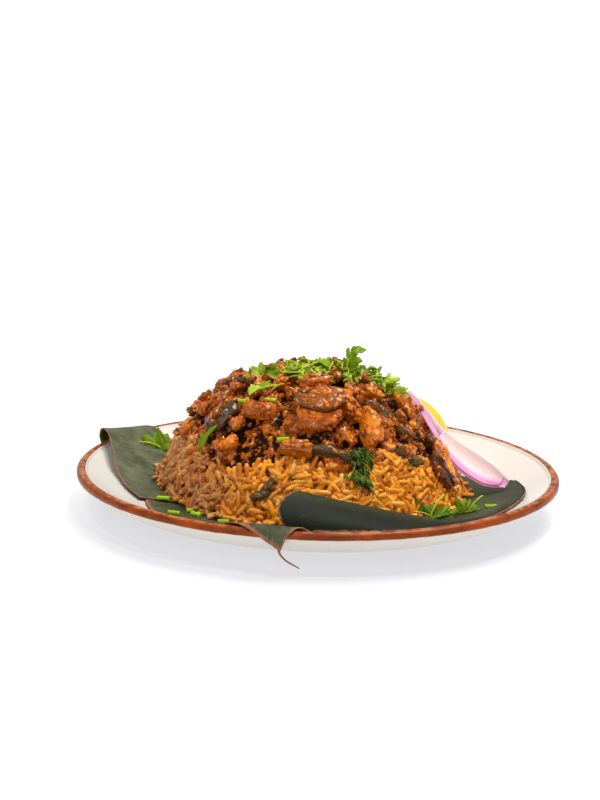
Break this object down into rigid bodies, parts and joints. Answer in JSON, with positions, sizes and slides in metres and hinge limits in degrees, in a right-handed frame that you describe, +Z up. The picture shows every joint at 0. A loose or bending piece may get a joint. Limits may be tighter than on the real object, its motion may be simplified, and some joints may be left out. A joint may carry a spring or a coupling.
{
  "type": "plate of spiced rice and curry on banana leaf",
  "caption": "Round rimmed plate lined with banana leaf, holding a dome of spiced rice under a chunky vegetable and mince curry, with herbs, onion and lemon.",
  "frame": {"origin": "centre of the bounding box, on the plane the plate stands on", "axes": "+Z up; the front of the dish, with the rolled leaf, faces -Y; +X to the viewer's right"},
  "size_m": [0.27, 0.2716, 0.0878],
  "materials": {
    "stoneware": "glossy speckled cream glaze with a terracotta brown band round the lip",
    "banana_leaf": "satin dark green leaf with fine parallel veins and dried brown edges",
    "rice": "moist orange-brown grains",
    "curry": "wet, oily red-brown mince",
    "aubergine": "wet olive-brown cooked flesh",
    "aubergine_skin": "wet near-black skin",
    "carrot": "oily orange-red vegetable",
    "onion": "translucent pale pink with a purple edge",
    "lemon": "pored yellow rind, paler flesh",
    "coriander": "fresh green leaf"
  },
  "bodies": {
    "root": {"aubergine_back": "aubergine", "aubergine_back_left": "aubergine", "aubergine_flap_left": "aubergine", "aubergine_front": "aubergine", "aubergine_front_right": "aubergine", "aubergine_low_right": "aubergine", "banana_leaf_left": "banana_leaf", "banana_leaf_roll": "banana_leaf", "banana_leaf_tail": "banana_leaf", "carrot_back": "carrot", "carrot_crown": "carrot", "carrot_high": "carrot", "carrot_left": "carrot", "carrot_low": "carrot", "coriander_beside_far_right": "coriander", "coriander_beside_left": "coriander", "coriander_beside_right": "coriander", "coriander_crown": "coriander", "coriander_high_left": "coriander", "coriander_low_front": "coriander", "coriander_low_left": "coriander", "curry": "curry", "lemon_wedge": "lemon", "onion_petal": "onion", "plate": "stoneware", "rice": "rice", "skin_high_right": "aubergine_skin", "skin_in_rice": "aubergine_skin", "skin_low_right": "aubergine_skin", "skin_middle": "aubergine_skin"}
  },
  "joints": []
}
